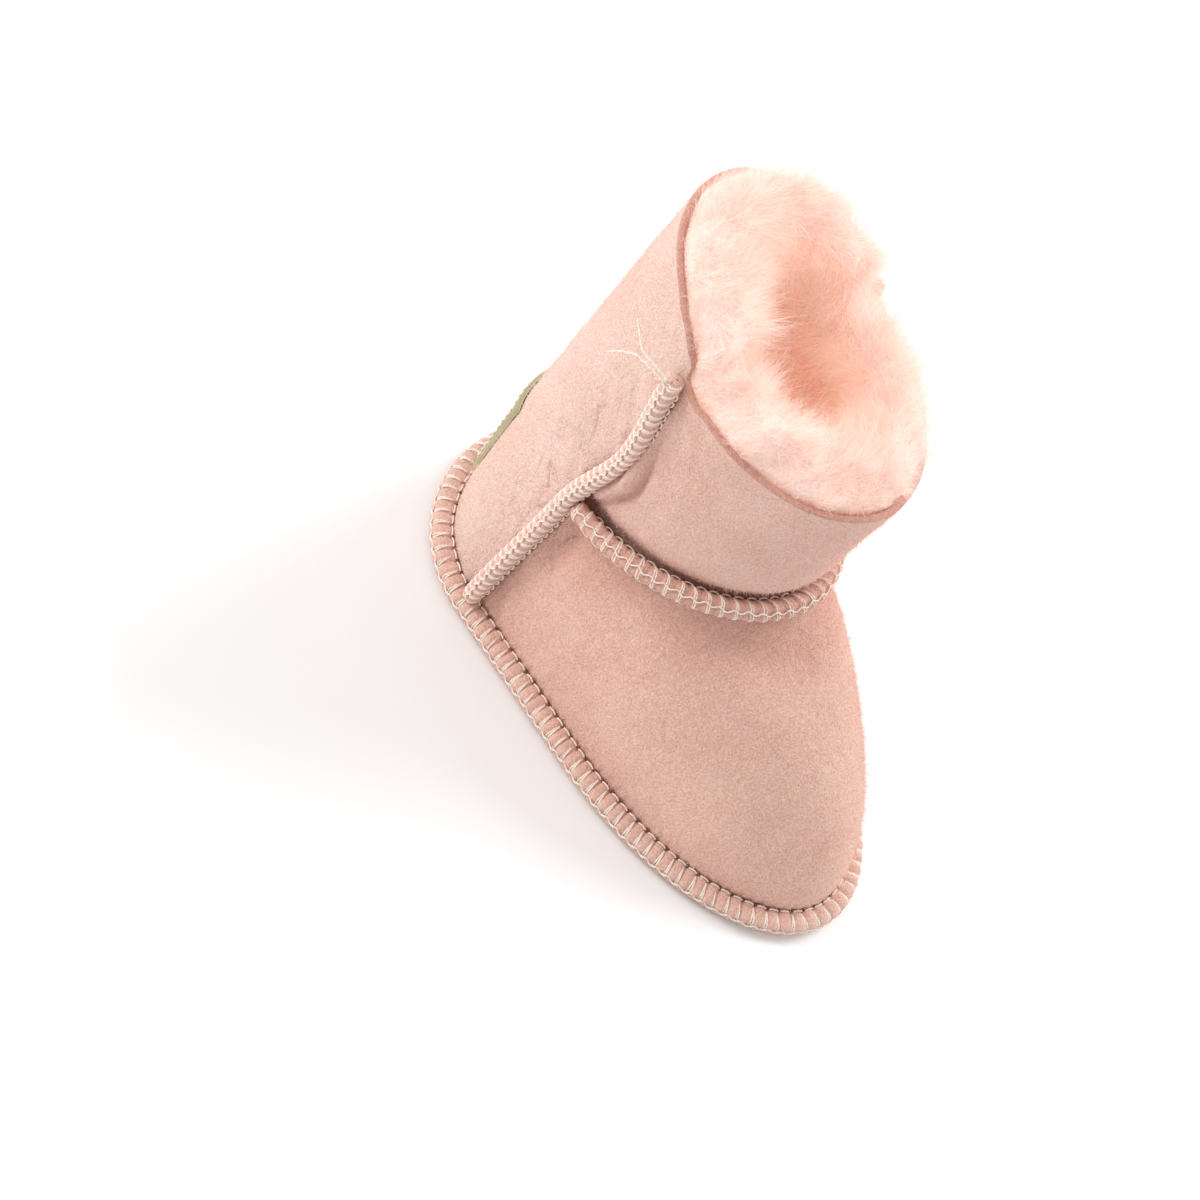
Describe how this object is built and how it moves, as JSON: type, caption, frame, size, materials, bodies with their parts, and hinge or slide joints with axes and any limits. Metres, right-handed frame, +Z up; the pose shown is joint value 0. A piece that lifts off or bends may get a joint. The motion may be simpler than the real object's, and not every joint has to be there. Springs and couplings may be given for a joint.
{
  "type": "baby bootie",
  "caption": "Soft baby bootie in sheepskin, suede side out, sewn with raised outward overlock seams and lined with wool pile, open at the ankle.",
  "frame": {"origin": "middle of the part's box at floor level, under the sole", "axes": "+Z up, toe toward -Y, heel toward +Y, wearer's right side toward -X"},
  "size_m": [0.0668, 0.1226, 0.1055],
  "materials": {
    "sole_suede": "matte",
    "vamp_suede": "matte",
    "back_panel_suede": "matte",
    "front_panel_suede": "matte",
    "wool_pile": "matte",
    "sewing_thread": "matte",
    "label_weave": "matte"
  },
  "bodies": {
    "root": {"sole_hide": "sole_suede", "vamp_hide": "vamp_suede", "back_panel_hide": "back_panel_suede", "front_panel_hide": "front_panel_suede", "sole_wool": "wool_pile", "vamp_wool": "wool_pile", "back_panel_wool": "wool_pile", "front_panel_wool": "wool_pile", "sole_overlock_thread": "sewing_thread", "right_side_overlock_thread": "sewing_thread", "left_side_overlock_thread": "sewing_thread", "instep_overlock_thread": "sewing_thread", "needle_thread_tail": "sewing_thread", "looper_thread_tail": "sewing_thread", "heel_label": "label_weave", "heel_label_stitching": "sewing_thread"}
  },
  "joints": []
}
